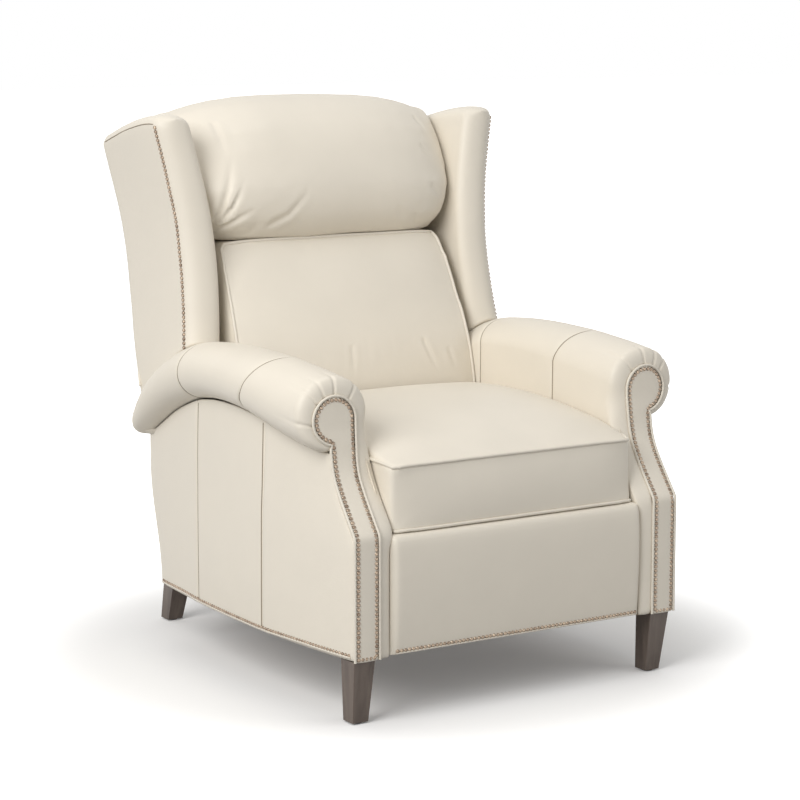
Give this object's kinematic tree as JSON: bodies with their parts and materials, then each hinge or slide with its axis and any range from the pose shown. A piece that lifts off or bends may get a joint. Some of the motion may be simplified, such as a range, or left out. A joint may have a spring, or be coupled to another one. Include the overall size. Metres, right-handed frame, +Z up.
{
  "type": "wingback recliner armchair",
  "caption": "Wingback recliner armchair in pale leather with rolled nail-trimmed arms, box seat cushion, pillow headrest, tapered legs, and a back and footrest that open together.",
  "frame": {"origin": "middle of the chair's footprint on the floor, with the chair closed and upright", "axes": "+Z up, -Y the way the sitter faces, X across the chair; the chair is symmetric about the YZ plane"},
  "size_m": [0.868, 0.955, 1.1263],
  "materials": {
    "leather": "soft semi-matte grain leather",
    "leg_wood": "grey-brown stained satin",
    "frame_wood": "unfinished hardwood and plywood",
    "mechanism_steel": "black satin",
    "bright_steel": "zinc plated",
    "deck_fabric": "woven deck cloth",
    "glide_plastic": "matt"
  },
  "bodies": {
    "base": {"arm_bottom_rails": "frame_wood", "arm_corner_posts": "frame_wood", "arm_front_boards": "frame_wood", "arm_front_panel_left": "leather", "arm_front_panel_right": "leather", "arm_inner_pad_left": "leather", "arm_inner_pad_right": "leather", "arm_rear_posts": "frame_wood", "arm_roll_left": "leather", "arm_roll_right": "leather", "arm_side_boards": "frame_wood", "arm_side_pad_left": "leather", "arm_side_pad_right": "leather", "arm_top_rails": "frame_wood", "base_cross_rails": "frame_wood", "base_rear_cover": "leather", "base_rear_rail": "frame_wood", "base_rear_side_rails": "frame_wood", "front_leg_left": "leg_wood", "front_leg_right": "leg_wood", "leg_bolts": "bright_steel", "leg_glides": "glide_plastic", "mechanism_bolts": "bright_steel", "mechanism_plates": "mechanism_steel", "plate_pivot_pins": "bright_steel", "rear_leg_left": "leg_wood", "rear_leg_right": "leg_wood", "seat_guides": "mechanism_steel"},
    "seat": {"seat_cross_boards": "frame_wood", "seat_side_boards": "frame_wood", "seat_runners": "mechanism_steel", "seat_springs": "bright_steel", "seat_deck": "deck_fabric", "seat_cushion": "leather"},
    "back": {"back_posts": "frame_wood", "back_brackets": "mechanism_steel", "back_top_rail": "frame_wood", "back_lumbar_rail": "frame_wood", "back_bottom_rail": "frame_wood", "back_springs": "bright_steel", "back_cushion": "leather", "head_pillow": "leather", "outside_back": "leather", "back_side_panels": "frame_wood", "wing_rails": "frame_wood", "wing_boards": "frame_wood", "wing_inner_pad_left": "leather", "wing_inner_pad_right": "leather", "wing_outer_panel_left": "leather", "wing_outer_panel_right": "leather"},
    "rear_links": {"rear_link_left": "mechanism_steel", "rear_link_right": "mechanism_steel", "drive_tube": "mechanism_steel"},
    "front_links": {"front_link_left": "mechanism_steel", "front_link_right": "mechanism_steel", "link_pivot_pins": "bright_steel"},
    "footrest": {"footrest_board": "frame_wood", "footrest_pad": "leather", "footrest_brackets": "mechanism_steel", "footrest_pivot_pins": "bright_steel"}
  },
  "joints": [
    {"name": "back_recline", "type": "hinge", "parent": "base", "child": "back", "pos_m": [0, 0.13753, 0.31], "axis": [-1, 0, 0], "range_deg": [0, 30]},
    {"name": "seat_slide", "type": "slide", "parent": "base", "child": "seat", "axis": [0, -1, 0], "range_m": [0, 0.0401]},
    {"name": "rear_link_swing", "type": "hinge", "parent": "base", "child": "rear_links", "pos_m": [0, -0.31247, 0.3], "axis": [-1, 0, 0], "range_deg": [0, 136.02]},
    {"name": "front_link_swing", "type": "hinge", "parent": "rear_links", "child": "front_links", "pos_m": [0, -0.1955, 0.15028], "axis": [1, 0, 0], "range_deg": [0, 152.72]},
    {"name": "footrest_tilt", "type": "hinge", "parent": "front_links", "child": "footrest", "pos_m": [0, -0.39947, 0.262], "axis": [-1, 0, 0], "range_deg": [0, 106.72]}
  ],
  "couplings": [
    {"joint": "seat_slide", "follows": "back_recline", "m_per_rad": 0.076394},
    {"joint": "rear_link_swing", "follows": "back_recline", "ratio": 4.5333},
    {"joint": "front_link_swing", "follows": "back_recline", "ratio": 5.09},
    {"joint": "footrest_tilt", "follows": "back_recline", "ratio": 3.5567}
  ]
}
